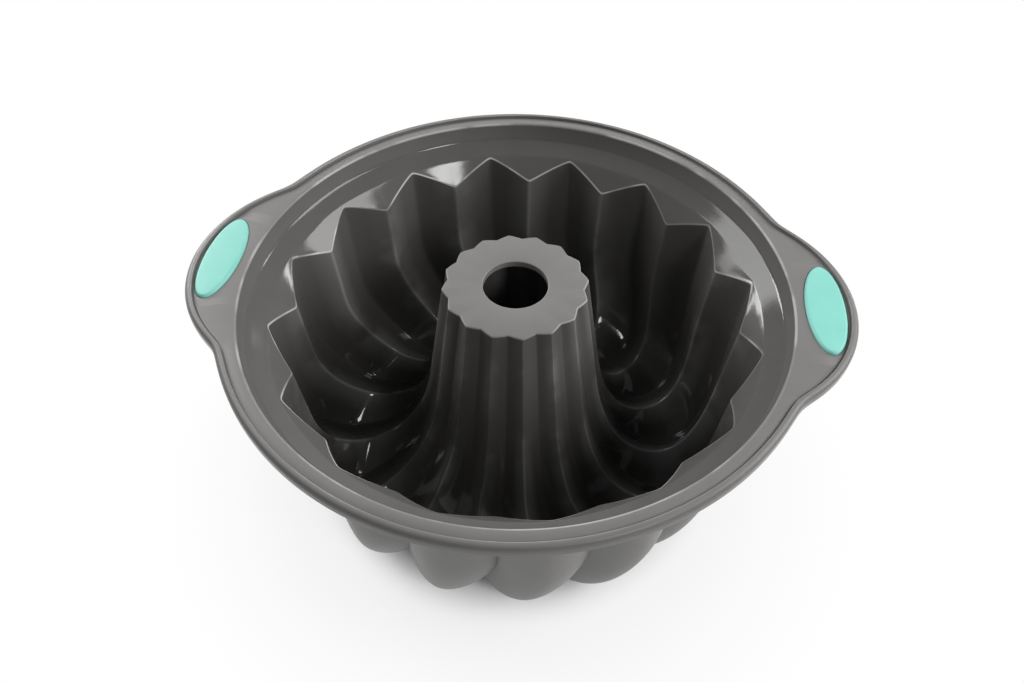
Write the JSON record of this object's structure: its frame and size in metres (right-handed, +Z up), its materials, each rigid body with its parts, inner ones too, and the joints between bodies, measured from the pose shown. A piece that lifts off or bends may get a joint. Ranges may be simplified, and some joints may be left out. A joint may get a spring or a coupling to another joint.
{
  "type": "round silicone cake mould",
  "caption": "Round fluted ring cake mould in dark silicone with a hollow centre tube, swirling V flutes, a beaded flange and grip ears with inset mint pads.",
  "frame": {"origin": "under the centre of the tube, on the plane that the feet of the mould stand on", "axes": "+X through the ears, +Z up along the axis of the tube, towards the open top"},
  "size_m": [0.2952, 0.26, 0.1164],
  "materials": {
    "grey_silicone": "glossy in the cavity, satin on the flange and the outside",
    "mint_silicone": "satin",
    "spring_steel": "drawn wire"
  },
  "bodies": {
    "root": {"mould_body": "grey_silicone", "rim_ring": "spring_steel", "right_grip_pad": "mint_silicone", "left_grip_pad": "mint_silicone"}
  },
  "joints": []
}
